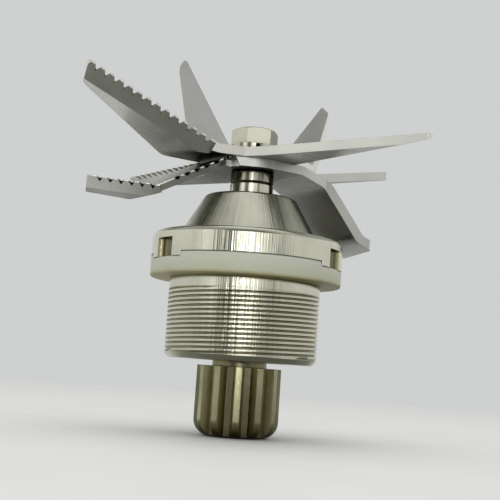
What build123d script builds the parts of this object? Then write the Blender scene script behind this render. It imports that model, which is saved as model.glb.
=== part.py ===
from build123d import *
from collections import namedtuple
import math
import os

os.makedirs("parts", exist_ok=True)

# Housing: jar thread, gasket seat, flange and cone, with z = 0 at the underside of the gasket
flange_radius = 24.0
flange_rim_top = 11.0
flange_edge_round = 1.4
flange_ledge = 6.7
gasket_width = 5.4
gasket_thickness = 5.1
thread_rise = 0.4
thread_bottom = -18.5
housing_bottom = -19.7
housing_end_chamfer = 1.2
cone_base_level = 11.6
cone_top_radius = 11.5
cone_top_level = 21.5
cone_edge_round = 1.2

# Spanner notches in the flange, each inside a lug that keys the gasket
notch_count = 3
notch_phase = -26.0
notch_radius = 3.5
notch_depth = 2.6
notch_top = 8.6
lug_drop = 1.1
lug_width = 13.0

# Ball bearings: two of one size, held apart by an inner and an outer sleeve
shaft_radius = 5.0
bearing_radius = 13.0
bearing_width = 8.0
ball_radius = 2.38
ball_count = 8
ball_clearance = 0.04
race_groove_depth = 0.75
cage_thickness = 1.5
cage_height = 5.8
cage_pocket_clearance = 0.08
shield_thickness = 0.4
shield_recess = 0.3
shield_running_gap = 0.3
lower_bearing_level = -17.4
spacer_height = 8.0
outer_spacer_wall = 1.6
inner_spacer_wall = 1.8

# Circlip that holds the bearings in
circlip_thickness = 1.2
circlip_width = 2.2
circlip_groove_depth = 0.7
circlip_gap_angle = 40.0
circlip_ear_radius = 1.5
circlip_ear_hole = 0.7
circlip_ear_angle = 8.0

# Lip seal in the cone
seal_radius = 9.0
seal_height = 5.5
seal_wall = 0.8
seal_top_level = 17.2
seal_web_radius = 6.8
seal_lip_clearance = 0.05
seal_lip_drop = 3.6
spring_wire_radius = 0.55
shaft_opening_clearance = 0.5

# Spindle
shoulder_radius = 6.2
shoulder_height = 1.4
key_radius = 4.0
key_across_flats = 6.4
key_clearance = 0.03
stud_radius = 3.0
stud_projection = 0.5
stud_chamfer = 0.5
collar_radius = 5.5
collar_height = 3.05
collar_edge = 0.35

# Blades: two sheets of one stock, bent, ground and serrated
sheet_thickness = 2.3
hub_radius = 9.0
bend_radius = 4.0
bevel_width = 4.6
edge_land = 0.35
tooth_pitch = 2.6
tooth_notch_width = 1.2
tooth_notch_depth = 1.7
bevel_end_margin = 0.5
bevel_overrun = 1.0

# Split washer and nut
washer_radius = 5.9
washer_thickness = 2.3
washer_clearance = 0.15
washer_gap = 1.0
washer_gap_azimuth = -82.0
nut_across_flats = 10.4
nut_height = 4.2
nut_phase = 10.6
nut_crown_radius = 4.9

# Drive coupling
spline_radius = 10.5
spline_top = -21.1
spline_bottom = -38.2
spline_teeth = 12
spline_phase = -75.0
spline_groove_depth = 2.3
spline_groove_mouth = 4.1
spline_groove_floor = 1.5
spline_end_round = 4.0
boss_radius = 6.8
boss_bore_depth = 16.8

# Radii and levels that follow from the sizes above
gasket_seat_radius = flange_radius - gasket_width
thread_radius = gasket_seat_radius + thread_rise
cone_base_radius = flange_radius - flange_ledge
ball_pitch_radius = (shaft_radius + bearing_radius) / 2
upper_bearing_level = lower_bearing_level + bearing_width + spacer_height
bearing_stop_level = upper_bearing_level + bearing_width
collar_level = cone_top_level + shaft_opening_clearance
lower_blade_level = collar_level + 2 * collar_height
upper_blade_level = lower_blade_level + sheet_thickness
washer_level = upper_blade_level + sheet_thickness
nut_level = washer_level + washer_thickness
stud_top = nut_level + nut_height + stud_projection

# One arm of a blade sheet: root and tip are half widths, skew turns the bend lines off square,
# bends are (distance from the axis, slope beyond it) and edge is how the leading edge is finished
Arm = namedtuple("Arm", "azimuth skew root tip reach bends tip_round edge")
upper_arms = [
    Arm(204.5, 36.0, 9.0, 2.3, 45.5, [(15.2, 34.5)], 1.2, "serrated"),
    Arm(145.0, -28.5, 11.5, 1.3, 26.0, [(14.0, 69.5)], 1.2, "ground"),
    Arm(37.5, 22.0, 11.5, 1.4, 23.5, [(15.0, 64.5)], 0.6, "ground"),
    Arm(-35.0, 0.0, 10.0, 1.2, 49.0, [(9.5, 2.5)], 0.6, "serrated"),
]
lower_arms = [
    Arm(190.0, 25.0, 9.0, 5.0, 41.5, [(9.5, -30.5), (24.3, 4.0)], 0.8, "serrated"),
    Arm(140.5, 0.0, 10.5, 1.2, 44.0, [(10.0, -0.5)], 0.8, "serrated"),
    Arm(38.0, 0.0, 7.0, 3.0, 46.0, [(17.5, 12.0)], 0.8, "ground"),
    Arm(22.5, 8.0, 3.5, 7.5, 31.5, [(9.5, -17.0), (17.0, -54.5), (26.3, -24.5)], 0.8, "blunt"),
]


def direction(azimuth):
    """Unit vector in the horizontal plane."""
    return Vector(math.cos(math.radians(azimuth)), math.sin(math.radians(azimuth)), 0)


def ring(inner, outer, base, height):
    """Plain ring about the spindle axis."""
    with BuildPart() as piece:
        with BuildSketch(Plane.XY.offset(base)):
            Circle(outer)
            Circle(inner, mode=Mode.SUBTRACT)
        extrude(amount=height)
    return piece.part


def export(piece, name):
    """Label a finished piece and write its STEP file."""
    piece.label = name
    export_step(piece, f"parts/{name}.step")


def underside_corners(arm):
    """Corner points of an arm's underside, seen square to its bend lines."""
    run = arm.reach / math.cos(math.radians(arm.skew)) + sheet_thickness
    corners = [(0, 0), (arm.bends[0][0], 0)]
    ends = [station for station, slope in arm.bends[1:]] + [run]
    for (station, slope), end in zip(arm.bends, ends):
        rise = (end - station) * math.tan(math.radians(slope))
        corners.append((end, corners[-1][1] + rise))
    return corners


def edge_point(arm, level, along):
    """Point on top of the leading edge, and the lean of the sheet there."""
    across = arm.root + (arm.tip - arm.root) * along / arm.reach
    spot = direction(arm.azimuth) * along + direction(arm.azimuth + 90) * across
    station = spot.dot(direction(arm.azimuth + arm.skew))
    corners = underside_corners(arm)
    for (x0, z0), (x1, z1) in zip(corners, corners[1:]):
        if x0 <= station < x1:
            lean = math.atan2(z1 - z0, x1 - x0)
            height = z0 + (station - x0) * math.tan(lean) + sheet_thickness / math.cos(lean)
    return spot + Vector(0, 0, level + height), lean


def bevel_stretches(arm):
    """Straight stretches of the leading edge, as distances along the arm."""
    turn = math.radians(arm.skew)
    taper = (arm.tip - arm.root) / arm.reach
    marks = []
    for station, slope in arm.bends:
        marks.append((station - arm.root * math.sin(turn)) / (math.cos(turn) + taper * math.sin(turn)))
    return list(zip(marks, marks[1:] + [arm.reach]))


def bevel_plane(arm, level, start, end):
    """Plane of the ground bevel between two distances along the arm, and its length."""
    first, lean = edge_point(arm, level, start)
    last, lean = edge_point(arm, level, end)
    sheet_normal = Vector(0, 0, math.cos(lean)) - direction(arm.azimuth + arm.skew) * math.sin(lean)
    along = (last - first).normalized()
    fall = along.cross(sheet_normal) * bevel_width - sheet_normal * (sheet_thickness - edge_land)
    corner = first - sheet_normal * edge_land
    return Plane(corner, x_dir=along, z_dir=along.cross(fall)), (last - first).length


def blade_arm(arm, level):
    """One bent, tapered and ground arm; its leading edge faces the way the blades turn."""
    uphill = direction(arm.azimuth + arm.skew)
    side_plane = Plane((0, 0, level), x_dir=uphill, z_dir=(uphill.Y, -uphill.X, 0))
    plan_plane = Plane((0, 0, level), x_dir=direction(arm.azimuth), z_dir=(0, 0, 1))
    with BuildPart() as piece:
        with BuildSketch(side_plane):
            with BuildLine():
                underside = FilletPolyline(*underside_corners(arm), radius=bend_radius)
                offset(underside, amount=sheet_thickness, side=Side.LEFT)
            make_face()
        extrude(amount=arm.reach, both=True)
        with BuildSketch(plan_plane) as outline:
            with BuildLine():
                Polyline(
                    (0, -arm.root),
                    (arm.reach, -arm.tip),
                    (arm.reach, arm.tip),
                    (0, arm.root),
                    close=True,
                )
            make_face()
            tip_corners = outline.vertices().sort_by(Axis.X)[-2:]
            fillet(tip_corners, radius=arm.tip_round)
        extrude(amount=2 * arm.reach, both=True, mode=Mode.INTERSECT)
        stretches = [] if arm.edge == "blunt" else bevel_stretches(arm)
        for start, end in stretches:
            first, last = start + bevel_end_margin, end - bevel_end_margin
            ground_face, length = bevel_plane(arm, level, first, last)
            with BuildSketch(ground_face):
                with Locations((length / 2, 0)):
                    Rectangle(length + 2 * bevel_overrun, 4 * bevel_width)
            extrude(amount=2 * sheet_thickness, mode=Mode.SUBTRACT)
            if arm.edge == "serrated":
                with BuildSketch(ground_face):
                    for tooth in range(int(length / tooth_pitch)):
                        with Locations(((tooth + 0.5) * tooth_pitch, 0)):
                            Polygon(
                                (-tooth_notch_width, -bevel_overrun),
                                (tooth_notch_width, -bevel_overrun),
                                (0, tooth_notch_depth),
                                align=None,
                            )
                extrude(amount=sheet_thickness, both=True, mode=Mode.SUBTRACT)
    return piece.part


def blade_sheet(arms, level):
    """Hub disc with its arms and the two-flat hole that keys it to the spindle."""
    ground_arms = [blade_arm(arm, level) for arm in arms]
    with BuildPart() as sheet:
        with BuildSketch(Plane.XY.offset(level)):
            Circle(hub_radius)
        extrude(amount=sheet_thickness)
        add(ground_arms)
        with BuildSketch(Plane.XY.offset(level)):
            Circle(key_radius + key_clearance)
            Rectangle(2 * hub_radius, key_across_flats + 2 * key_clearance, mode=Mode.INTERSECT)
        extrude(amount=sheet_thickness, mode=Mode.SUBTRACT)
    return sheet.part


def build_bearing(side, base):
    """Rings, balls, cage and two shields of one deep-groove ball bearing."""
    middle = base + bearing_width / 2
    groove_radius = ball_radius + ball_clearance
    inner_land = ball_pitch_radius - groove_radius + race_groove_depth
    outer_land = ball_pitch_radius + groove_radius - race_groove_depth
    shield_outer = outer_land + shield_recess
    shield_inner = inner_land + shield_running_gap
    shield_levels = {"bottom": base, "top": base + bearing_width - shield_thickness}

    with BuildPart() as inner_ring:
        add(ring(shaft_radius, inner_land, base, bearing_width))
        with BuildSketch(Plane.XZ):
            with Locations((ball_pitch_radius, middle)):
                Circle(groove_radius)
        revolve(axis=Axis.Z, mode=Mode.SUBTRACT)
    export(inner_ring.part, f"{side}_inner_ring")

    with BuildPart() as outer_ring:
        add(ring(outer_land, bearing_radius, base, bearing_width))
        with BuildSketch(Plane.XZ):
            with Locations((ball_pitch_radius, middle)):
                Circle(groove_radius)
        revolve(axis=Axis.Z, mode=Mode.SUBTRACT)
        for level in shield_levels.values():
            with BuildSketch(Plane.XY.offset(level)):
                Circle(shield_outer)
            extrude(amount=shield_thickness, mode=Mode.SUBTRACT)
    export(outer_ring.part, f"{side}_outer_ring")

    with BuildPart() as balls:
        with Locations((0, 0, middle)):
            with PolarLocations(ball_pitch_radius, ball_count):
                Sphere(ball_radius)
    export(balls.part, f"{side}_balls")

    cage_inner = ball_pitch_radius - cage_thickness / 2
    pocket_radius = ball_radius + cage_pocket_clearance
    with BuildPart() as cage:
        add(ring(cage_inner, cage_inner + cage_thickness, middle - cage_height / 2, cage_height))
        with Locations((0, 0, middle)):
            with PolarLocations(ball_pitch_radius, ball_count):
                Cylinder(pocket_radius, 2 * cage_thickness, rotation=(0, 90, 0), mode=Mode.SUBTRACT)
    export(cage.part, f"{side}_cage")

    for face, level in shield_levels.items():
        export(ring(shield_inner, shield_outer, level, shield_thickness), f"{side}_{face}_shield")


# Housing, turned from bar: thread blank, gasket seat, flange, cone and stepped bore
with BuildPart() as lugs:
    with BuildSketch(Plane.XY.offset(gasket_thickness - lug_drop)):
        with PolarLocations(flange_radius, notch_count, start_angle=notch_phase):
            Rectangle(flange_radius, lug_width)
        Circle(flange_radius, mode=Mode.INTERSECT)
        Circle(gasket_seat_radius, mode=Mode.SUBTRACT)
    extrude(amount=lug_drop)

with BuildPart() as housing:
    with BuildSketch(Plane.XZ) as section:
        with BuildLine():
            Polyline(
                (bearing_radius, housing_bottom),
                (thread_radius - housing_end_chamfer, housing_bottom),
                (thread_radius, thread_bottom),
                (thread_radius, 0),
                (gasket_seat_radius, 0),
                (gasket_seat_radius, gasket_thickness),
                (flange_radius, gasket_thickness),
                (flange_radius, flange_rim_top),
                (cone_base_radius, cone_base_level),
                (cone_top_radius, cone_top_level),
                (shaft_radius + shaft_opening_clearance, cone_top_level),
                (shaft_radius + shaft_opening_clearance, seal_top_level),
                (seal_radius, seal_top_level),
                (seal_radius, bearing_stop_level),
                (bearing_radius, bearing_stop_level),
                close=True,
            )
        make_face()
        rim_corner = section.vertices().sort_by_distance((flange_radius, flange_rim_top))[0]
        fillet(rim_corner, radius=flange_edge_round)
        cone_corner = section.vertices().sort_by_distance((cone_top_radius, cone_top_level))[0]
        fillet(cone_corner, radius=cone_edge_round)
    revolve(axis=Axis.Z)
    add(lugs.part)
    with BuildSketch(Plane.XY.offset(gasket_thickness - lug_drop)):
        with PolarLocations(flange_radius - notch_depth + notch_radius, notch_count, start_angle=notch_phase):
            Circle(notch_radius)
    extrude(amount=notch_top - gasket_thickness + lug_drop, mode=Mode.SUBTRACT)
    with BuildSketch(Plane.XY.offset(lower_bearing_level - circlip_thickness)):
        Circle(bearing_radius + circlip_groove_depth)
    extrude(amount=circlip_thickness, mode=Mode.SUBTRACT)
export(housing.part, "housing")

# Gasket, notched on top where the flange's lugs drop into it
with BuildPart() as gasket:
    add(ring(gasket_seat_radius, flange_radius, 0, gasket_thickness))
    add(lugs.part, mode=Mode.SUBTRACT)
export(gasket.part, "gasket")

# Bearings with the sleeves between them
build_bearing("lower", lower_bearing_level)
build_bearing("upper", upper_bearing_level)
spacer_level = lower_bearing_level + bearing_width
export(ring(bearing_radius - outer_spacer_wall, bearing_radius, spacer_level, spacer_height), "outer_spacer")
export(ring(shaft_radius, shaft_radius + inner_spacer_wall, spacer_level, spacer_height), "inner_spacer")

# Circlip, open between two ears with pliers holes
circlip_outer = bearing_radius + circlip_groove_depth
ear_place = circlip_outer - circlip_width
with BuildPart() as circlip:
    with BuildSketch(Plane.XY.offset(lower_bearing_level - circlip_thickness)):
        Circle(circlip_outer)
        Circle(circlip_outer - circlip_width, mode=Mode.SUBTRACT)
        with BuildLine():
            Polyline(
                (0, 0),
                direction(90 - circlip_gap_angle / 2) * 2 * circlip_outer,
                direction(90 + circlip_gap_angle / 2) * 2 * circlip_outer,
                close=True,
            )
        make_face(mode=Mode.SUBTRACT)
        for side in (-1, 1):
            ear = direction(90 + side * (circlip_gap_angle / 2 + circlip_ear_angle)) * ear_place
            with Locations((ear.X, ear.Y)):
                Circle(circlip_ear_radius)
                Circle(circlip_ear_hole, mode=Mode.SUBTRACT)
    extrude(amount=circlip_thickness)
export(circlip.part, "circlip")

# Lip seal: pressed steel case, rubber lip and its garter spring
lip_level = seal_top_level - seal_lip_drop
spring_radius = shaft_radius + seal_lip_clearance + 4 * spring_wire_radius
with BuildPart() as seal_case:
    with BuildSketch(Plane.XZ):
        with BuildLine():
            Polyline(
                (seal_radius, seal_top_level - seal_height),
                (seal_radius, seal_top_level),
                (seal_web_radius, seal_top_level),
                (seal_web_radius, seal_top_level - seal_wall),
                (seal_radius - seal_wall, seal_top_level - seal_wall),
                (seal_radius - seal_wall, seal_top_level - seal_height),
                close=True,
            )
        make_face()
    revolve(axis=Axis.Z)
export(seal_case.part, "seal_case")

with BuildPart() as seal_lip:
    with BuildSketch(Plane.XZ):
        with BuildLine():
            Polyline(
                (seal_radius - seal_wall, seal_top_level - seal_wall),
                (seal_web_radius, seal_top_level - seal_wall),
                (shaft_radius + seal_lip_clearance, lip_level),
                (spring_radius, lip_level - 2 * spring_wire_radius),
                (spring_radius, lip_level + 2 * spring_wire_radius),
                (seal_radius - seal_wall, seal_top_level - 2 * seal_wall),
                close=True,
            )
        make_face()
        with Locations((spring_radius, lip_level)):
            Circle(spring_wire_radius, mode=Mode.SUBTRACT)
    revolve(axis=Axis.Z)
export(seal_lip.part, "seal_lip")

with BuildPart() as seal_spring:
    with BuildSketch(Plane.XZ):
        with Locations((spring_radius, lip_level)):
            Circle(spring_wire_radius)
    revolve(axis=Axis.Z)
export(seal_spring.part, "seal_spring")

# Shaft: bearing length, stop shoulder, two-flat key for the blades and stud for the nut
boss_top = lower_bearing_level
shaft_bottom = boss_top - boss_bore_depth
key_top = washer_level
with BuildPart() as shaft:
    with BuildSketch(Plane.XZ):
        with BuildLine():
            Polyline(
                (0, shaft_bottom),
                (shaft_radius, shaft_bottom),
                (shaft_radius, bearing_stop_level),
                (shoulder_radius, bearing_stop_level),
                (shoulder_radius, bearing_stop_level + shoulder_height),
                (shaft_radius, bearing_stop_level + shoulder_height),
                (shaft_radius, collar_level),
                (key_radius, collar_level),
                (key_radius, key_top),
                (stud_radius, key_top),
                (stud_radius, stud_top - stud_chamfer),
                (stud_radius - stud_chamfer, stud_top),
                (0, stud_top),
                close=True,
            )
        make_face()
    revolve(axis=Axis.Z)
    with BuildSketch(Plane.XY.offset(collar_level)):
        Rectangle(2 * shaft_radius, 2 * shaft_radius)
        Rectangle(2 * shaft_radius, key_across_flats, mode=Mode.SUBTRACT)
    extrude(amount=key_top - collar_level, mode=Mode.SUBTRACT)
export(shaft.part, "shaft")

# Two collars between the shaft's step and the blades
for name, level in (("lower_collar", collar_level), ("upper_collar", collar_level + collar_height)):
    with BuildPart() as collar:
        add(ring(key_radius + key_clearance, collar_radius, level, collar_height))
        chamfer(collar.edges().filter_by(GeomType.CIRCLE).group_by(SortBy.RADIUS)[-1], collar_edge)
    export(collar.part, name)

# Blades
export(blade_sheet(lower_arms, lower_blade_level), "lower_blade")
export(blade_sheet(upper_arms, upper_blade_level), "upper_blade")

# Split lock washer with a slanted gap
gap_out = direction(washer_gap_azimuth)
gap_centre = (0, 0, washer_level + washer_thickness / 2)
gap_plane = Plane(gap_centre, x_dir=direction(washer_gap_azimuth - 90), z_dir=gap_out)
with BuildPart() as lock_washer:
    add(ring(stud_radius + washer_clearance, washer_radius, washer_level, washer_thickness))
    with BuildSketch(gap_plane):
        with BuildLine():
            Polyline(
                (-washer_gap, -washer_thickness),
                (0, -washer_thickness),
                (washer_gap, washer_thickness),
                (0, washer_thickness),
                close=True,
            )
        make_face()
    extrude(amount=2 * washer_radius, mode=Mode.SUBTRACT)
export(lock_washer.part, "lock_washer")

# Hexagon nut with a turned crown
with BuildPart() as hex_nut:
    with BuildSketch(Plane.XY.offset(nut_level)):
        RegularPolygon(nut_across_flats / 2, 6, major_radius=False, rotation=nut_phase)
        Circle(stud_radius, mode=Mode.SUBTRACT)
    extrude(amount=nut_height)
    with BuildSketch(Plane.XZ):
        with BuildLine():
            Polyline(
                (0, nut_level),
                (nut_across_flats, nut_level),
                (nut_across_flats, nut_level + nut_height - (nut_across_flats - nut_crown_radius) / 2),
                (nut_crown_radius, nut_level + nut_height),
                (0, nut_level + nut_height),
                close=True,
            )
        make_face()
    revolve(axis=Axis.Z, mode=Mode.INTERSECT)
export(hex_nut.part, "hex_nut")

# Drive coupling: boss against the lower bearing and a twelve-tooth spline with a rounded end
with BuildPart() as drive_coupling:
    with BuildSketch(Plane.XZ) as coupling_section:
        with BuildLine():
            Polyline(
                (0, spline_bottom),
                (spline_radius, spline_bottom),
                (spline_radius, spline_top),
                (boss_radius, spline_top),
                (boss_radius, boss_top),
                (shaft_radius, boss_top),
                (shaft_radius, shaft_bottom),
                (0, shaft_bottom),
                close=True,
            )
        make_face()
        end_corner = coupling_section.vertices().sort_by_distance((spline_radius, spline_bottom))[0]
        fillet(end_corner, radius=spline_end_round)
    revolve(axis=Axis.Z)
    with BuildSketch(Plane.XY.offset(spline_bottom)):
        with PolarLocations(spline_radius, spline_teeth, start_angle=spline_phase):
            Polygon(
                (-spline_groove_depth, -spline_groove_floor / 2),
                (0, -spline_groove_mouth / 2),
                (spline_groove_depth, -spline_groove_mouth),
                (spline_groove_depth, spline_groove_mouth),
                (0, spline_groove_mouth / 2),
                (-spline_groove_depth, spline_groove_floor / 2),
                align=None,
            )
    extrude(amount=spline_top - spline_bottom, mode=Mode.SUBTRACT)
export(drive_coupling.part, "drive_coupling")
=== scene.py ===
import bmesh
import bpy
import math
from mathutils import Matrix, Vector
from mathutils.bvhtree import BVHTree


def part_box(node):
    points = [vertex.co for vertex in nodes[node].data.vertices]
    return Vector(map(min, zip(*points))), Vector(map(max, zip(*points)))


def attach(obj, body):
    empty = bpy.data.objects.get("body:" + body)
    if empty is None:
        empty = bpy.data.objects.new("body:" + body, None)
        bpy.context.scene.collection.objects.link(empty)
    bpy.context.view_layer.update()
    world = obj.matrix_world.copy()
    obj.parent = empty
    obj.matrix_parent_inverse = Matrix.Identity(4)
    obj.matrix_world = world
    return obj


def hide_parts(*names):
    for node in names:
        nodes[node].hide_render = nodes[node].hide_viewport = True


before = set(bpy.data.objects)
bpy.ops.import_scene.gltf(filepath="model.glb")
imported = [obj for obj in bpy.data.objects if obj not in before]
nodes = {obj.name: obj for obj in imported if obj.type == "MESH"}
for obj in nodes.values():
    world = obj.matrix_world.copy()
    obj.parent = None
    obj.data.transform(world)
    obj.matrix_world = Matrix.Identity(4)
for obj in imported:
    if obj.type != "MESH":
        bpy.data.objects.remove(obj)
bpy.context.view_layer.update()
scene = bpy.context.scene
mm = 0.001
print("frame loaded:", len(nodes), "nodes")


# node tree helpers

shading = {"rays": 6, "midRange": (0.3, 0.7)}  # rays for soft edges and the painted recess shade, noise from dark to light


def newMaterial(name):
    material = bpy.data.materials.new(name)
    material.use_nodes = True
    return material, material.node_tree, material.node_tree.nodes["Principled BSDF"]


def addNode(tree, kind, **values):
    node = tree.nodes.new(kind)
    for key, value in values.items():
        setattr(node, key, value)
    return node


def feed(tree, socket, value):
    if isinstance(value, bpy.types.NodeSocket):
        tree.links.new(value, socket)
    else:
        socket.default_value = value


def mathNode(tree, operation, *values):
    node = addNode(tree, "ShaderNodeMath", operation=operation)
    for socket, value in zip(node.inputs, values):
        feed(tree, socket, value)
    return node.outputs[0]


def weightedSum(tree, first, firstShare, second, secondShare):
    return mathNode(tree, "ADD", mathNode(tree, "MULTIPLY", first, firstShare),
                    mathNode(tree, "MULTIPLY", second, secondShare))


def joinVector(tree, *values):
    node = addNode(tree, "ShaderNodeCombineXYZ")
    for socket, value in zip(node.inputs, values):
        feed(tree, socket, value)
    return node.outputs[0]


def splitVector(tree, vector):
    node = addNode(tree, "ShaderNodeSeparateXYZ")
    tree.links.new(vector, node.inputs[0])
    return node.outputs


def noiseOn(tree, vector, scale, detail):
    node = addNode(tree, "ShaderNodeTexNoise", noise_dimensions="3D")
    node.inputs["Scale"].default_value = scale
    node.inputs["Detail"].default_value = detail
    tree.links.new(vector, node.inputs["Vector"])
    return node.outputs["Fac"]


def rampOn(tree, value, stops):
    node = addNode(tree, "ShaderNodeValToRGB")
    while len(node.color_ramp.elements) < len(stops):
        node.color_ramp.elements.new(1.0)
    for element, (place, tone) in zip(node.color_ramp.elements, stops):
        element.position = place
        element.color = (*tone, 1.0) if isinstance(tone, tuple) else (tone, tone, tone, 1.0)
    tree.links.new(value, node.inputs["Fac"])
    return node.outputs["Color"]


def toneRamp(tree, value, low, high, span=shading["midRange"]):
    return rampOn(tree, value, [(span[0], low), (span[1], high)])


def mixColor(tree, factor, first, second, kind="MIX"):
    node = addNode(tree, "ShaderNodeMix", data_type="RGBA", blend_type=kind)
    colorA, colorB = node.inputs[6:8]  # the node's colour sockets
    for socket, value in zip((node.inputs["Factor"], colorA, colorB), (factor, first, second)):
        feed(tree, socket, value)
    return node.outputs[2]


def mixShader(tree, factor, first, second):
    node = addNode(tree, "ShaderNodeMixShader")
    for socket, value in zip(node.inputs, (factor, first, second)):
        tree.links.new(value, socket)
    return node.outputs[0]


def bumpOn(tree, shader, height, strength, depth, edgeRadius=None):
    bump = addNode(tree, "ShaderNodeBump")
    bump.inputs["Strength"].default_value = strength
    bump.inputs["Distance"].default_value = depth
    tree.links.new(height, bump.inputs["Height"])
    if edgeRadius:
        soft = addNode(tree, "ShaderNodeBevel", samples=shading["rays"])  # breaks the hard edges
        soft.inputs["Radius"].default_value = edgeRadius
        tree.links.new(soft.outputs["Normal"], bump.inputs["Normal"])
    tree.links.new(bump.outputs["Normal"], shader.inputs["Normal"])


# painted shade: ambient occlusion darkens the colour in recesses, creases and under neighbouring parts
def paintRecessShade(tree, color, look):
    around = addNode(tree, "ShaderNodeAmbientOcclusion", samples=shading["rays"])
    around.inputs["Distance"].default_value = look["paintedShadeReach"]
    shade = toneRamp(tree, around.outputs["AO"], look["paintedShadeTone"], 1.0, look["paintedShadeSpan"])
    return mixColor(tree, 1.0, color, shade, "MULTIPLY")


def axisDistance(tree, x, y):
    return mathNode(tree, "SQRT", weightedSum(tree, x, x, y, y))


# turned steel: lathe rings, long lines up the wall and a faint smear

turning = {"ringDetail": 3.0, "lineDetail": 2.0, "lineRun": 0.4, "smearScale": 90.0, "smearDetail": 4.0,
           "smearRough": 0.6, "lineRough": 0.4, "bumpDepth": 0.09 * mm}


def turnedSteel(name, look):
    material, tree, shader = newMaterial(name)
    place = addNode(tree, "ShaderNodeTexCoord").outputs["Object"]
    x, y, z = splitVector(tree, place)
    angle = mathNode(tree, "ARCTAN2", y, x)
    run = mathNode(tree, "MULTIPLY", z, turning["lineRun"])  # under 1 draws the lines out
    radius = axisDistance(tree, x, y)
    rings = noiseOn(tree, joinVector(tree, radius, z, 0.0), look["ringScale"], turning["ringDetail"])
    lines = noiseOn(tree, joinVector(tree, angle, run, 0.0), look["lineScale"], turning["lineDetail"])
    smear = noiseOn(tree, place, turning["smearScale"], turning["smearDetail"])
    color = toneRamp(tree, smear, look["dark"], look["light"])
    # the colour carries painted shade in its recesses
    tree.links.new(paintRecessShade(tree, color, look), shader.inputs["Base Color"])
    worn = weightedSum(tree, smear, turning["smearRough"], lines, turning["lineRough"])
    tree.links.new(toneRamp(tree, worn, look["roughLow"], look["roughHigh"]), shader.inputs["Roughness"])
    shader.inputs["Metallic"].default_value = 1.0
    shader.inputs["Anisotropic"].default_value = look["anisotropy"]
    tangent = addNode(tree, "ShaderNodeTangent", direction_type="RADIAL", axis="Z")
    tree.links.new(tangent.outputs[0], shader.inputs["Tangent"])
    height = weightedSum(tree, rings, look["ringShare"], lines, look["lineShare"])
    bumpOn(tree, shader, height, look["bump"], turning["bumpDepth"], look["edgeRadius"])
    return material


# the recess reach, span and tone in each finish set how far and how dark its painted shade goes
housingLook = {"dark": (0.56, 0.565, 0.46), "light": (0.70, 0.705, 0.59),
               "roughLow": 0.08, "roughHigh": 0.14, "ringScale": 2600.0, "ringShare": 0.12,
               "lineScale": 60.0, "lineShare": 1.0,
               "bump": 1.0, "anisotropy": 0.25, "edgeRadius": 0.18 * mm,
               "paintedShadeReach": 3.5 * mm, "paintedShadeSpan": (0.15, 0.75), "paintedShadeTone": (0.34, 0.31, 0.22)}
threadLook = {**housingLook, "paintedShadeReach": 1.2 * mm, "paintedShadeSpan": (0.3, 0.9),
              "paintedShadeTone": (0.46, 0.39, 0.22)}  # painted shade, warm brown, in the grooves
# painted shade: the milled notch pockets are painted near-black olive, with more painted shade in their
# recesses
notchShadeLook = {"dark": (0.15, 0.14, 0.08), "light": (0.24, 0.23, 0.14),
             "roughLow": 0.16, "roughHigh": 0.24, "ringScale": 2600.0, "ringShare": 0.2,
             "lineScale": 120.0, "lineShare": 0.4, "bump": 0.5, "anisotropy": 0.2, "edgeRadius": 0.1 * mm,
             "paintedShadeReach": 3.0 * mm, "paintedShadeSpan": (0.1, 0.8), "paintedShadeTone": (0.4, 0.36, 0.26)}
driveLook = {"dark": (0.44, 0.42, 0.255), "light": (0.58, 0.56, 0.365),
             "roughLow": 0.20, "roughHigh": 0.30, "ringScale": 3000.0, "ringShare": 0.2,
             "lineScale": 45.0, "lineShare": 0.2, "bump": 0.4, "anisotropy": 0.2, "edgeRadius": 0.2 * mm,
             "paintedShadeReach": 4.0 * mm, "paintedShadeSpan": (0.35, 0.85), "paintedShadeTone": (0.26, 0.22, 0.13)}
# painted shade: the long reach and near-black tone darken the upper collar and shaft under the blade hub
collarLook = {"dark": (0.46, 0.45, 0.36), "light": (0.60, 0.59, 0.48),
              "roughLow": 0.12, "roughHigh": 0.20, "ringScale": 3000.0, "ringShare": 0.25,
              "lineScale": 40.0, "lineShare": 0.1, "bump": 0.3, "anisotropy": 0.2, "edgeRadius": 0.15 * mm,
              "paintedShadeReach": 12.0 * mm, "paintedShadeSpan": (0.30, 0.80), "paintedShadeTone": (0.10, 0.09, 0.05)}
fastenerLook = {"dark": (0.54, 0.53, 0.43), "light": (0.68, 0.67, 0.56),
                "roughLow": 0.10, "roughHigh": 0.17, "ringScale": 2200.0, "ringShare": 0.3,
                "lineScale": 40.0, "lineShare": 0.0,
                "bump": 0.2, "anisotropy": 0.1, "edgeRadius": 0.12 * mm,
                "paintedShadeReach": 4.0 * mm, "paintedShadeSpan": (0.2, 0.8), "paintedShadeTone": (0.40, 0.36, 0.26)}
innerLook = {"dark": (0.40, 0.41, 0.42), "light": (0.55, 0.56, 0.57),
             "roughLow": 0.28, "roughHigh": 0.42, "ringScale": 2400.0, "ringShare": 0.6,
             "lineScale": 40.0, "lineShare": 0.2, "bump": 0.2, "anisotropy": 0.2, "edgeRadius": 0.1 * mm,
             "paintedShadeReach": 3.0 * mm, "paintedShadeSpan": (0.1, 0.7), "paintedShadeTone": (0.40, 0.40, 0.40)}
bearingLook = {**innerLook, "dark": (0.62, 0.63, 0.64), "light": (0.74, 0.75, 0.76),
               "roughLow": 0.10, "roughHigh": 0.18, "ringShare": 0.5, "lineShare": 0.1,
               "bump": 0.1, "edgeRadius": 0.15 * mm, "paintedShadeTone": (0.45, 0.45, 0.45)}
cageLook = {**innerLook, "dark": (0.58, 0.42, 0.18), "light": (0.74, 0.58, 0.30),
            "roughLow": 0.26, "roughHigh": 0.40, "ringScale": 2000.0, "paintedShadeTone": (0.45, 0.40, 0.35)}

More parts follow.
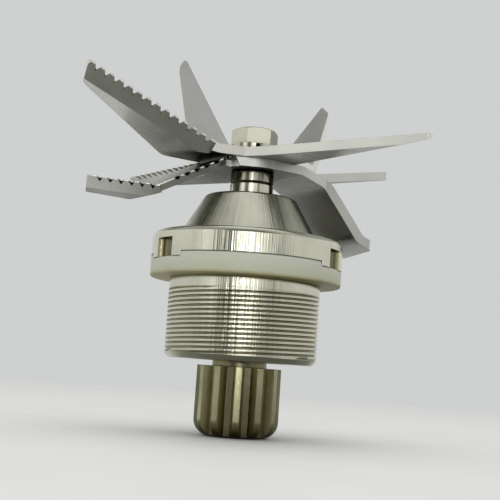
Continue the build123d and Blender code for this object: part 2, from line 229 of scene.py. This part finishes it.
housingSteel = turnedSteel("housingSteel", housingLook)
threadSteel = turnedSteel("threadSteel", threadLook)
shadedNotchSteel = turnedSteel("shadedNotchSteel", notchShadeLook)
driveSteel = turnedSteel("driveSteel", driveLook)
collarSteel = turnedSteel("collarSteel", collarLook)
fastenerSteel = turnedSteel("fastenerSteel", fastenerLook)
innerSteel = turnedSteel("innerSteel", innerLook)
bearingSteel = turnedSteel("bearingSteel", bearingLook)
cageBrass = turnedSteel("cageBrass", cageLook)


# ground steel: long grinding scratches over satin sheet, with paler sheared edges

grinding = {"grainDetail": 3.0, "smearScale": 110.0, "smearDetail": 4.0, "speckScale": 3200.0,
            "speckDetail": 1.0, "grainTone": 0.25, "smearTone": 0.75, "toneSpan": (0.32, 0.68),
            "edgeLean": (0.05, 0.12),  # how far sheared edges lean from upright
            "grainHeight": 0.95, "speckHeight": 0.05, "bumpDepth": 0.04 * mm}


def groundSteel(name, look):
    material, tree, shader = newMaterial(name)
    place = addNode(tree, "ShaderNodeTexCoord").outputs["Object"]
    turned = addNode(tree, "ShaderNodeMapping")
    turned.inputs["Rotation"].default_value = (0.0, 0.0, math.radians(look["grainTurn"]))
    turned.inputs["Scale"].default_value = look["grainStretch"]
    tree.links.new(place, turned.inputs["Vector"])
    grain = noiseOn(tree, turned.outputs[0], look["grainScale"], grinding["grainDetail"])
    smear = noiseOn(tree, place, grinding["smearScale"], grinding["smearDetail"])
    speck = noiseOn(tree, place, grinding["speckScale"], grinding["speckDetail"])
    worn = weightedSum(tree, grain, grinding["grainTone"], smear, grinding["smearTone"])
    sheet = toneRamp(tree, worn, look["dark"], look["light"], grinding["toneSpan"])
    # the sheet colour carries painted shade in its recesses
    color = paintRecessShade(tree, sheet, look)
    lean = splitVector(tree, addNode(tree, "ShaderNodeNewGeometry").outputs["True Normal"])["Z"]
    cut = toneRamp(tree, mathNode(tree, "ABSOLUTE", lean), 1.0, 0.0, grinding["edgeLean"])
    tree.links.new(mixColor(tree, cut, color, (*look["cutEdge"], 1.0)), shader.inputs["Base Color"])
    rough = toneRamp(tree, worn, look["roughLow"], look["roughHigh"])
    cutRough = mathNode(tree, "MULTIPLY", cut, look["cutRough"])
    tree.links.new(mathNode(tree, "ADD", rough, cutRough), shader.inputs["Roughness"])
    shader.inputs["Metallic"].default_value = 1.0
    height = weightedSum(tree, grain, grinding["grainHeight"], speck, grinding["speckHeight"])
    bumpOn(tree, shader, height, look["bump"], grinding["bumpDepth"], look["edgeRadius"])
    return material


bladeLook = {"dark": (0.55, 0.555, 0.53), "light": (0.65, 0.655, 0.63),
             "roughLow": 0.23, "roughHigh": 0.33,
             "grainTurn": 25.0, "grainStretch": (0.12, 1.0, 1.0), "grainScale": 2600.0,
             "bump": 0.08, "edgeRadius": 0.12 * mm, "cutEdge": (0.92, 0.92, 0.86), "cutRough": 0.14,
             "paintedShadeReach": 8.0 * mm, "paintedShadeSpan": (0.3, 0.9), "paintedShadeTone": (0.20, 0.195, 0.175)}
shadedBladeLook = {**bladeLook, "cutEdge": (0.74, 0.75, 0.71), "paintedShadeReach": 16.0 * mm,
                   "paintedShadeSpan": (0.4, 1.0)}  # painted shade: darker cut edges and recess shade that reaches further, for the lower sheet lies in the upper one's shade

bladeSteel = groundSteel("bladeSteel", bladeLook)
shadedBladeSteel = groundSteel("shadedBladeSteel", shadedBladeLook)


# seal rubber, dull and faintly mottled

rubberLook = {"dark": (0.018, 0.018, 0.018), "light": (0.04, 0.04, 0.04), "rough": 0.6,
              "mottleScale": 900.0, "mottleDetail": 3.0,
              "bump": 0.2, "bumpDepth": 0.05 * mm, "edgeRadius": 0.1 * mm}


def lipRubber(look):
    material, tree, shader = newMaterial("lipRubber")
    place = addNode(tree, "ShaderNodeTexCoord").outputs["Object"]
    mottle = noiseOn(tree, place, look["mottleScale"], look["mottleDetail"])
    tree.links.new(toneRamp(tree, mottle, look["dark"], look["light"]), shader.inputs["Base Color"])
    shader.inputs["Roughness"].default_value = look["rough"]
    bumpOn(tree, shader, mottle, look["bump"], look["bumpDepth"], look["edgeRadius"])
    return material


sealRubber = lipRubber(rubberLook)


# silicone gasket, cloudy, darker and yellower towards its lower edge

gasketLook = {"tones": [(0.08, (0.62, 0.57, 0.30)), (0.24, (0.80, 0.83, 0.66)),
                        (0.8, (0.88, 0.90, 0.78))],  # from the lower edge up
              "riseShare": 0.85, "cloudShare": 0.15, "cloudScale": 260.0, "cloudDetail": 4.0,
              "rough": 0.42, "glow": 0.35, "glowScale": 2.0 * mm, "glowDepths": (1.0, 0.9, 0.6),
              "clear": 0.12, "bending": 1.41, "bump": 0.12, "bumpDepth": 0.1 * mm}


def cloudySilicone(look, low, high):
    material, tree, shader = newMaterial("cloudySilicone")
    place = addNode(tree, "ShaderNodeTexCoord").outputs["Object"]
    cloud = noiseOn(tree, place, look["cloudScale"], look["cloudDetail"])
    fromLow = mathNode(tree, "SUBTRACT", splitVector(tree, place)["Z"], low)
    rise = mathNode(tree, "DIVIDE", fromLow, high - low)
    mixed = weightedSum(tree, rise, look["riseShare"], cloud, look["cloudShare"])
    tree.links.new(rampOn(tree, mixed, look["tones"]), shader.inputs["Base Color"])
    shader.inputs["Roughness"].default_value = look["rough"]
    shader.inputs["Subsurface Weight"].default_value = look["glow"]
    shader.inputs["Subsurface Radius"].default_value = look["glowDepths"]
    shader.inputs["Subsurface Scale"].default_value = look["glowScale"]
    shader.inputs["Transmission Weight"].default_value = look["clear"]
    shader.inputs["IOR"].default_value = look["bending"]
    bumpOn(tree, shader, cloud, look["bump"], look["bumpDepth"])
    return material


print("steels and rubber ready:", len(bpy.data.materials))


# finishes on the CAD nodes

# the upper collar and shaft take the collar finish with its deep painted shade, the lower collar the
# brighter fastener finish
finishes = {"housing": housingSteel, "drive_coupling": driveSteel, "shaft": collarSteel,
            "upper_collar": collarSteel, "lower_collar": fastenerSteel,
            "lock_washer": fastenerSteel, "hex_nut": fastenerSteel,
            "upper_blade": bladeSteel, "lower_blade": shadedBladeSteel, "seal_lip": sealRubber}


def finishOf(name):
    if name in finishes:
        return finishes[name]
    if name.endswith("cage"):
        return cageBrass
    if name.endswith(("balls", "inner_ring", "outer_ring")):
        return bearingSteel
    return innerSteel


for name in nodes:
    slots = nodes[name].data.materials
    slots.clear()
    slots.append(finishOf(name))
print("nodes dressed")


# mesh helpers

def addPiece(name, mesh, body, material):
    piece = bpy.data.objects.new(name, mesh)
    scene.collection.objects.link(piece)
    mesh.materials.clear()
    mesh.materials.append(material)
    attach(piece, body)
    return piece


def smoothMesh(name, work, sharpAngle=None):
    mesh = bpy.data.meshes.new(name)
    work.to_mesh(mesh)
    work.free()
    mesh.shade_smooth()
    if sharpAngle:
        mesh.set_sharp_from_angle(angle=math.radians(sharpAngle))
    return mesh


def ringFaces(work, rows):
    for lower, upper in zip(rows, rows[1:]):
        for i in range(len(lower)):
            j = (i + 1) % len(lower)
            work.faces.new((lower[i], lower[j], upper[j], upper[i]))


# jar thread: three starts cut into the housing's wall, with a plain neck above

thread = {"radius": 19.0 * mm, "depth": 0.40 * mm, "pitch": 1.1 * mm, "starts": 3,
          "crest": 0.56 * mm, "root": 0.16 * mm, "low": -18.5 * mm, "top": -2.7 * mm, "runOut": 0.4 * mm,
          "neckRadius": 18.95 * mm, "neckTop": 0.0, "segments": 240, "sharpAngle": 35.0,
          "weldGap": 0.001 * mm, "wallFit": 0.05 * mm, "wallRise": 1.0 * mm}


def threadCut(z):
    fade = min(thread["top"] - z, z - thread["low"]) / thread["runOut"]  # the groove runs out at both ends
    return thread["depth"] * min(1.0, max(0.0, fade))


def threadColumn(turn):
    pitch = thread["pitch"]
    crest = thread["crest"] / 2
    root = thread["root"] / 2
    profile = [(-crest, 0), (crest, 0), (pitch / 2 - root, 1), (pitch / 2 + root, 1)]  # rise, 1 where deep
    first = math.floor(thread["low"] / pitch) - thread["starts"] - 1
    last = math.ceil(thread["top"] / pitch) + 1
    column = []
    for ridge in range(first, last):
        for rise, deep in profile:
            z = (ridge + thread["starts"] * turn) * pitch + rise
            z = min(thread["top"], max(thread["low"], z))
            column.append((thread["radius"] - deep * threadCut(z), z))
    return column + [(thread["neckRadius"], thread["top"]), (thread["neckRadius"], thread["neckTop"])]


def cutThread():
    work = bmesh.new()
    columns = []
    for i in range(thread["segments"] + 1):
        turn = i / thread["segments"]
        x, y = math.cos(2 * math.pi * turn), math.sin(2 * math.pi * turn)
        columns.append([work.verts.new((r * x, r * y, z)) for r, z in threadColumn(turn)])
    for near, far in zip(columns, columns[1:]):
        for k in range(len(near) - 1):
            work.faces.new((near[k], far[k], far[k + 1], near[k + 1]))
    bmesh.ops.remove_doubles(work, verts=work.verts, dist=thread["weldGap"])
    mesh = smoothMesh("jarThread", work, thread["sharpAngle"])
    return addPiece("jarThread", mesh, "housing", threadSteel)


jarThread = cutThread()
print("thread cut:", len(jarThread.data.polygons), "faces")


# housing shell: the turned body without its thread wall, and the milled notch walls apart

notch = {"rimRadius": 23.9 * mm, "low": 3.9 * mm, "high": 8.7 * mm, "span": 5.0 * mm,
         "phase": -26.0, "count": 3}


def notchTurns():
    return [math.radians(notch["phase"] + 360 / notch["count"] * i) for i in range(notch["count"])]


def inNotch(spots):
    level = all(notch["low"] < spot.z < notch["high"] for spot in spots)
    if not level or min(spot.xy.length for spot in spots) >= notch["rimRadius"]:
        return False
    for turn in notchTurns():
        along = Vector((math.cos(turn), math.sin(turn)))
        across = Vector((-math.sin(turn), math.cos(turn)))
        if all(spot.xy.dot(along) > 0 and abs(spot.xy.dot(across)) < notch["span"] for spot in spots):
            return True
    return False


def onThreadWall(spots):
    rises = [spot.z for spot in spots]
    near = all(abs(spot.xy.length - thread["radius"]) < thread["wallFit"] for spot in spots)
    return near and max(rises) - min(rises) > thread["wallRise"]


def onShell(spots):
    return not onThreadWall(spots) and not inNotch(spots)


def housingPart(name, material, keep):
    mesh = nodes["housing"].data.copy()
    work = bmesh.new()
    work.from_mesh(mesh)
    spare = [face for face in work.faces if not keep([vert.co for vert in face.verts])]
    bmesh.ops.delete(work, geom=spare, context="FACES")
    work.to_mesh(mesh)
    work.free()
    print(name, "keeps", len(mesh.polygons), "faces")
    return addPiece(name, mesh, "housing", material)


housingShell = housingPart("housingShell", housingSteel, onShell)
# the notch walls carry the near-black painted-shade finish
housingPart("notchWalls", shadedNotchSteel, inNotch)
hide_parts("housing")


# flares of the lower blade's drooping arm, behind it and at its root, on the same bent sheet

flare = {"azimuth": 22.5, "skew": 8.0, "thickness": 2.3 * mm, "inset": 0.03 * mm, "flatFrom": 6.0 * mm,
         "castDrop": 1.0 * mm, "alongSteps": 30, "acrossSteps": 10, "sharpAngle": 35.0,
         "armFlare": [(8.0, 4.5), (6.2, 8.35), (27.0, 20.5), (30.0, 7.31)],  # along and across, in mm
         "armRoot": [(8.0, -4.5), (1.76, -8.82), (18.5, -5.86), (18.4, -5.83)]}

lowerBlade = nodes["lower_blade"].data
lowerSheet = BVHTree.FromPolygons([vert.co for vert in lowerBlade.vertices],
                                  [face.vertices for face in lowerBlade.polygons])
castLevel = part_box("lower_blade")[0].z - flare["castDrop"]


def sheetUnderside(station):
    reach = max(station, flare["flatFrom"]) / math.cos(math.radians(flare["skew"]))
    turn = math.radians(flare["azimuth"])
    below = Vector((reach * math.cos(turn), reach * math.sin(turn), castLevel))
    spot, normal = lowerSheet.ray_cast(below, Vector((0.0, 0.0, 1.0)))[:2]
    return spot.z + flare["inset"], (flare["thickness"] - 2 * flare["inset"]) / abs(normal.z)


def flareArm(name):
    turn = math.radians(flare["azimuth"])
    uphillTurn = math.radians(flare["azimuth"] + flare["skew"])
    along = Vector((math.cos(turn), math.sin(turn)))
    across = Vector((-math.sin(turn), math.cos(turn)))
    uphill = Vector((math.cos(uphillTurn), math.sin(uphillTurn)))  # square to the sheet's bend lines
    rootInner, rootOuter, tipOuter, tipInner = [Vector(corner) * mm for corner in flare[name]]
    work = bmesh.new()
    rows = []
    for i in range(flare["alongSteps"] + 1):
        share = i / flare["alongSteps"]
        inner, outer = rootInner.lerp(tipInner, share), rootOuter.lerp(tipOuter, share)
        under, upper = [], []
        for j in range(flare["acrossSteps"] + 1):
            plan = inner.lerp(outer, j / flare["acrossSteps"])
            spot = along * plan.x + across * plan.y
            z, thick = sheetUnderside(spot.dot(uphill))
            under.append(work.verts.new((spot.x, spot.y, z)))
            upper.append(work.verts.new((spot.x, spot.y, z + thick)))
        rows.append(under + upper[::-1])
    ringFaces(work, rows)
    bmesh.ops.holes_fill(work, edges=[edge for edge in work.edges if edge.is_boundary], sides=0)
    bmesh.ops.recalc_face_normals(work, faces=work.faces)
    mesh = smoothMesh(name, work, flare["sharpAngle"])
    return addPiece(name, mesh, "spindle", shadedBladeSteel)


armFlare = flareArm("armFlare")
armRoot = flareArm("armRoot")
print("arm flares made:", len(armFlare.data.polygons) + len(armRoot.data.polygons), "faces")


# gasket: soft ring with rounded rims, let in where the flange's lugs drop round the notches

gasket = {"rim": 0.55 * mm, "rimSteps": 5, "segments": 288, "lugDrop": 1.1 * mm, "lugWidth": 13.0 * mm,
          "seatDepth": 0.4 * mm, "shrink": 0.02 * mm}


def onLug(angle, radius):
    for turn in notchTurns():
        if math.cos(angle - turn) > 0 and abs(math.sin(angle - turn)) * radius < gasket["lugWidth"] / 2:
            return True
    return False


def gasketSection(inner, outer, low, high):
    rim = gasket["rim"]
    corners = [(outer - rim, low + rim, -90), (outer - rim, high - rim, 0),
               (inner + rim, high - rim, 90), (inner + rim, low + rim, 180)]  # radius, level, first angle
    points = []
    for r, z, start in corners:
        for step in range(gasket["rimSteps"] + 1):
            turn = math.radians(start + 90 * step / gasket["rimSteps"])
            points.append((r + rim * math.cos(turn), z + rim * math.sin(turn)))
    return points


def softGasket():
    low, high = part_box("gasket")
    outer = high.x - gasket["shrink"]
    inner = thread["radius"] - gasket["seatDepth"] + gasket["shrink"]
    work = bmesh.new()
    rows = []
    for i in range(gasket["segments"]):
        angle = 2 * math.pi * i / gasket["segments"]
        x, y = math.cos(angle), math.sin(angle)
        top = high.z - gasket["shrink"] - (gasket["lugDrop"] if onLug(angle, outer) else 0.0)
        section = gasketSection(inner, outer, low.z, top)
        rows.append([work.verts.new((r * x, r * y, z)) for r, z in section])
    ringFaces(work, rows + rows[:1])
    bmesh.ops.recalc_face_normals(work, faces=work.faces)
    silicone = cloudySilicone(gasketLook, low.z, high.z)
    mesh = smoothMesh("siliconeGasket", work)
    return addPiece("siliconeGasket", mesh, "housing", silicone)


siliconeGasket = softGasket()
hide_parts("gasket")
print("gasket made:", len(siliconeGasket.data.polygons), "faces")


# pale floor that fades into the background, duller where the steel mirrors it: rays other than the camera's
# see painted dark and pale bands, a painted reflection and bounce

# the band tones are the floor's painted reflection and bounce, seen by every ray but the camera's
stage = {"floorGap": 0.05 * mm, "floorSize": 2.0, "fadeStart": 0.14, "fadeEnd": 0.62,
         "floorColor": (0.84, 0.845, 0.84), "floorShade": 0.97, "mottleScale": 40.0, "mottleDetail": 3.0,
         "rough": 0.7, "behindLeft": (-1.5, 2.0), "nearby": 0.25,
         "paintedMirrorBands": [(0.15, (0.16, 0.16, 0.14)), (0.31, (0.34, 0.34, 0.31)), (0.39, (0.84, 0.85, 0.83)),
                    (0.60, (0.80, 0.81, 0.79)), (0.74, (0.16, 0.16, 0.15))]}


def paleFloor():
    material, tree, shader = newMaterial("paleFloor")
    place = addNode(tree, "ShaderNodeTexCoord").outputs["Object"]
    x, y = splitVector(tree, place)[:2]
    mottle = noiseOn(tree, place, stage["mottleScale"], stage["mottleDetail"])
    shaded = tuple(stage["floorShade"] * tone for tone in stage["floorColor"])
    tree.links.new(toneRamp(tree, mottle, shaded, stage["floorColor"]), shader.inputs["Base Color"])
    shader.inputs["Roughness"].default_value = stage["rough"]
    # painted reflection and bounce: a pale band between dark bands, laid across the behind-left direction
    side = weightedSum(tree, x, stage["behindLeft"][0], y, stage["behindLeft"][1])
    dull = addNode(tree, "ShaderNodeBsdfDiffuse")
    paintedMirrorBands = rampOn(tree, mathNode(tree, "ADD", side, stage["nearby"]), stage["paintedMirrorBands"])
    tree.links.new(paintedMirrorBands, dull.inputs["Color"])
    toCamera = addNode(tree, "ShaderNodeLightPath").outputs["Is Camera Ray"]
    seen = mixShader(tree, toCamera, dull.outputs[0], shader.outputs[0])
    fade = addNode(tree, "ShaderNodeMapRange", interpolation_type="SMOOTHSTEP")
    fade.inputs["From Min"].default_value = stage["fadeStart"]
    fade.inputs["From Max"].default_value = stage["fadeEnd"]
    tree.links.new(axisDistance(tree, x, y), fade.inputs["Value"])
    clear = addNode(tree, "ShaderNodeBsdfTransparent")
    faded = mixShader(tree, fade.outputs[0], seen, clear.outputs[0])
    tree.links.new(faded, tree.nodes["Material Output"].inputs["Surface"])
    return material


half = stage["floorSize"] / 2
floorMesh = bpy.data.meshes.new("floor")
floorCorners = [(-half, -half, 0), (half, -half, 0), (half, half, 0), (-half, half, 0)]
floorMesh.from_pydata(floorCorners, [], [(0, 1, 2, 3)])
floorMesh.materials.append(paleFloor())
floor = bpy.data.objects.new("floor", floorMesh)
floor.location.z = min(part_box(name)[0].z for name in nodes) - stage["floorGap"]
scene.collection.objects.link(floor)
print("floor laid")


# soft room, seen by the camera as one pale tone

room = {"tones": [(0.0, (0.10, 0.10, 0.09)), (0.47, (0.12, 0.12, 0.11)), (0.51, (0.70, 0.70, 0.68)),
                  (0.65, (0.80, 0.80, 0.78)), (0.725, (0.40, 0.40, 0.385)), (0.935, (0.40, 0.40, 0.39)),
                  (0.96, (0.80, 0.80, 0.79)), (1.0, (0.84, 0.85, 0.85))],  # below, horizon, above
        "front": [(0.0, 0.28), (0.10, 0.28), (0.16, 1.0)],  # darker behind the camera
        "seenColor": (0.62, 0.635, 0.63)}


def fromSigned(tree, value):
    return mathNode(tree, "ADD", mathNode(tree, "MULTIPLY", value, 0.5), 0.5)  # -1 to 1 becomes 0 to 1


def softWorld():
    world = bpy.data.worlds.new("studio")
    scene.world = world
    world.use_nodes = True
    tree = world.node_tree
    back = tree.nodes["Background"]
    y, z = splitVector(tree, addNode(tree, "ShaderNodeTexCoord").outputs["Generated"])[1:]
    tones = rampOn(tree, fromSigned(tree, z), room["tones"])
    front = rampOn(tree, fromSigned(tree, y), room["front"])
    tree.links.new(mixColor(tree, 1.0, tones, front, "MULTIPLY"), back.inputs["Color"])
    seen = addNode(tree, "ShaderNodeBackground")
    seen.inputs["Color"].default_value = (*room["seenColor"], 1.0)
    toCamera = addNode(tree, "ShaderNodeLightPath").outputs["Is Camera Ray"]
    both = mixShader(tree, toCamera, back.outputs[0], seen.outputs[0])
    tree.links.new(both, tree.nodes["World Output"].inputs["Surface"])


softWorld()


# lamps, all turned towards the flange

aim = Vector((0.0, 0.0, 0.01))
lamps = {
    "frontBox": {"at": (-0.01, -0.62, 0.09), "size": (0.32, 0.21), "power": 0.29, "tint": (1, 0.99, 0.97)},
    "flashStrip": {"at": (-0.012, -0.55, 0.065), "size": (0.02, 0.16), "power": 0.14, "tint": (1, 1, 0.98)},
    "leftBox": {"at": (-0.48, -0.50, 0.14), "size": (0.22, 0.30), "power": 0.12, "tint": (1, 1, 0.97)},
    "rightBox": {"at": (0.26, -0.60, 0.13), "size": (0.18, 0.26), "power": 0.12, "tint": (1, 1, 0.97)},
    "highBox": {"at": (0.50, -0.28, 0.60), "size": (0.40, 0.40), "power": 0.10, "tint": (1, 1, 1)},
    "gasketFill": {"at": (0.0, -0.60, 0.10), "size": (0.60, 0.40), "power": 0.45, "tint": (1, 1, 0.98)},
    "topBox": {"at": (0.0, 0.0, 0.80), "size": (1.0, 1.0), "power": 3.4, "tint": (1, 1, 1)},
}
notMirrored = ("gasketFill", "topBox")  # the steel mirrors the room and the other lamps


def hangLamp(name, lamp):
    light = bpy.data.lights.new(name, "AREA")
    light.shape = "RECTANGLE"
    light.size, light.size_y = lamp["size"]
    light.energy = lamp["power"]
    light.color = lamp["tint"]
    holder = bpy.data.objects.new(name, light)
    holder.location = lamp["at"]
    holder.rotation_euler = (aim - holder.location).to_track_quat("-Z", "Y").to_euler()
    holder.visible_glossy = name not in notMirrored
    scene.collection.objects.link(holder)


for name, lamp in lamps.items():
    hangLamp(name, lamp)
print("room and lamps ready")


# camera: just below the housing's lower end, looking a little up, with the photo's lean

shot = {"at": (0.0, -0.245, -0.0215), "lens": 70.2, "sensor": 36.0, "nearest": 0.01,
        "up": 6.97, "lean": 3.88, "yaw": -0.16}

camera = bpy.data.cameras.new("shot")
camera.sensor_width = shot["sensor"]
camera.lens = shot["lens"]
camera.clip_start = shot["nearest"]
tripod = bpy.data.objects.new("shot", camera)
yaw = Matrix.Rotation(math.radians(shot["yaw"]), 4, "Z")
tilt = Matrix.Rotation(math.radians(90 + shot["up"]), 4, "X")
roll = Matrix.Rotation(math.radians(shot["lean"]), 4, "Z")
tripod.matrix_world = Matrix.Translation(shot["at"]) @ yaw @ tilt @ roll
scene.collection.objects.link(tripod)
scene.camera = tripod
scene.view_settings.view_transform = "Standard"
print("camera set")
